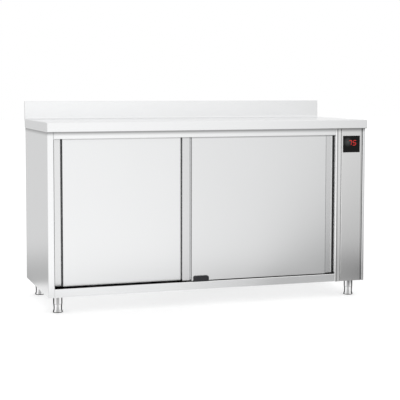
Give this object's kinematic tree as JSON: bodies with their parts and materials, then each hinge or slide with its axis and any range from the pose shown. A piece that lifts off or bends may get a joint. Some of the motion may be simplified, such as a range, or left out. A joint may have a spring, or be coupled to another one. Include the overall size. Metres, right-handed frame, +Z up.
{
  "type": "heated plate cupboard",
  "caption": "Low steel cupboard that keeps plates warm: worktop with splashback, hanging sliding doors, loose shelf, fan heating in a side column with digital display, adjustable legs.",
  "frame": {"origin": "on the floor at the centre of the worktop's rectangle", "axes": "+X along the width towards the technical column, +Y from the doors to the splashback, +Z up"},
  "size_m": [1.6, 0.6, 0.97],
  "materials": {
    "casing_steel": "fine brushed stainless steel",
    "liner_steel": "satin stainless steel",
    "board": "raw chipboard",
    "insulation": "mineral wool",
    "track_aluminium": "mill finish",
    "zinc_steel": "zinc plated",
    "white_nylon": "moulded nylon",
    "black_nylon": "moulded nylon",
    "seal_rubber": "matte",
    "display_glass": "gloss, printed black behind",
    "display_digits": "lit red",
    "motor_enamel": "satin enamel",
    "element_steel": "heat-tinted",
    "ivory_plastic": "gloss",
    "leg_chrome": "polished"
  },
  "bodies": {
    "cabinet": {"worktop": "casing_steel", "worktop_board": "board", "left_side_panel": "casing_steel", "right_side_panel": "casing_steel", "back_panel": "casing_steel", "base_pan": "liner_steel", "bottom_rail": "casing_steel", "top_rail": "casing_steel", "divider_panel": "casing_steel", "left_liner": "liner_steel", "right_liner": "liner_steel", "rear_liner": "liner_steel", "chamber_floor": "liner_steel", "chamber_ceiling": "liner_steel", "side_insulation": "insulation", "rear_insulation": "insulation", "top_insulation": "insulation", "floor_insulation": "insulation", "shelf_uprights": "liner_steel", "shelf_clips": "liner_steel", "door_track": "track_aluminium", "floor_guide": "black_nylon", "door_seals": "seal_rubber", "column_cover": "casing_steel", "display_glass": "display_glass", "display_digits": "display_digits", "controller_housing": "black_nylon", "air_duct": "liner_steel", "fan_motor": "motor_enamel", "heating_element": "element_steel", "temperature_probe": "element_steel", "safety_thermostat": "ivory_plastic", "terminal_block": "ivory_plastic", "cable_gland": "black_nylon", "panel_screws": "zinc_steel", "front_left_leg": "leg_chrome", "front_right_leg": "leg_chrome", "rear_left_leg": "leg_chrome", "rear_right_leg": "leg_chrome"},
    "left_door": {"left_door_skin": "casing_steel", "left_door_back": "liner_steel", "left_door_core": "insulation", "left_door_hangers": "zinc_steel"},
    "right_door": {"right_door_skin": "casing_steel", "right_door_back": "liner_steel", "right_door_core": "insulation", "right_door_hangers": "zinc_steel"},
    "left_door_left_wheel": {"left_door_left_roller": "white_nylon"},
    "left_door_right_wheel": {"left_door_right_roller": "white_nylon"},
    "right_door_left_wheel": {"right_door_left_roller": "white_nylon"},
    "right_door_right_wheel": {"right_door_right_roller": "white_nylon"},
    "fan": {"fan_wheel": "track_aluminium", "fan_shaft": "zinc_steel"},
    "loose_shelf": {"shelf": "liner_steel", "shelf_stiffener": "liner_steel"},
    "front_left_screw_foot": {"front_left_foot": "leg_chrome"},
    "front_right_screw_foot": {"front_right_foot": "leg_chrome"},
    "rear_left_screw_foot": {"rear_left_foot": "leg_chrome"},
    "rear_right_screw_foot": {"rear_right_foot": "leg_chrome"}
  },
  "joints": [
    {"name": "left_door_slide", "type": "slide", "parent": "cabinet", "child": "left_door", "axis": [1, 0, 0], "range_m": [0, 0.6137]},
    {"name": "right_door_slide", "type": "slide", "parent": "cabinet", "child": "right_door", "axis": [-1, 0, 0], "range_m": [0, 0.6137]},
    {"name": "left_door_left_wheel_spin", "type": "hinge", "parent": "left_door", "child": "left_door_left_wheel", "pos_m": [-0.6507, -0.2366, 0.8316], "axis": [0, 1, 0], "continuous": true},
    {"name": "left_door_right_wheel_spin", "type": "hinge", "parent": "left_door", "child": "left_door_right_wheel", "pos_m": [-0.092, -0.2366, 0.8316], "axis": [0, 1, 0], "continuous": true},
    {"name": "right_door_left_wheel_spin", "type": "hinge", "parent": "right_door", "child": "right_door_left_wheel", "pos_m": [-0.037, -0.2686, 0.8316], "axis": [0, 1, 0], "continuous": true},
    {"name": "right_door_right_wheel_spin", "type": "hinge", "parent": "right_door", "child": "right_door_right_wheel", "pos_m": [0.5217, -0.2686, 0.8316], "axis": [0, 1, 0], "continuous": true},
    {"name": "fan_spin", "type": "hinge", "parent": "cabinet", "child": "fan", "pos_m": [0.686, 0.06, 0.45], "axis": [1, 0, 0], "continuous": true},
    {"name": "shelf_lift", "type": "slide", "parent": "cabinet", "child": "loose_shelf", "axis": [0, 0, 1], "range_m": [0, 0.06]},
    {"name": "front_left_foot_height", "type": "slide", "parent": "cabinet", "child": "front_left_screw_foot", "axis": [0, 0, -1], "range_m": [0, 0.02]},
    {"name": "front_right_foot_height", "type": "slide", "parent": "cabinet", "child": "front_right_screw_foot", "axis": [0, 0, -1], "range_m": [0, 0.02]},
    {"name": "rear_left_foot_height", "type": "slide", "parent": "cabinet", "child": "rear_left_screw_foot", "axis": [0, 0, -1], "range_m": [0, 0.02]},
    {"name": "rear_right_foot_height", "type": "slide", "parent": "cabinet", "child": "rear_right_screw_foot", "axis": [0, 0, -1], "range_m": [0, 0.02]}
  ],
  "couplings": [
    {"joint": "left_door_left_wheel_spin", "follows": "left_door_slide", "rad_per_m": 85.47},
    {"joint": "left_door_right_wheel_spin", "follows": "left_door_slide", "rad_per_m": 85.47},
    {"joint": "right_door_left_wheel_spin", "follows": "right_door_slide", "rad_per_m": -85.47},
    {"joint": "right_door_right_wheel_spin", "follows": "right_door_slide", "rad_per_m": -85.47}
  ]
}
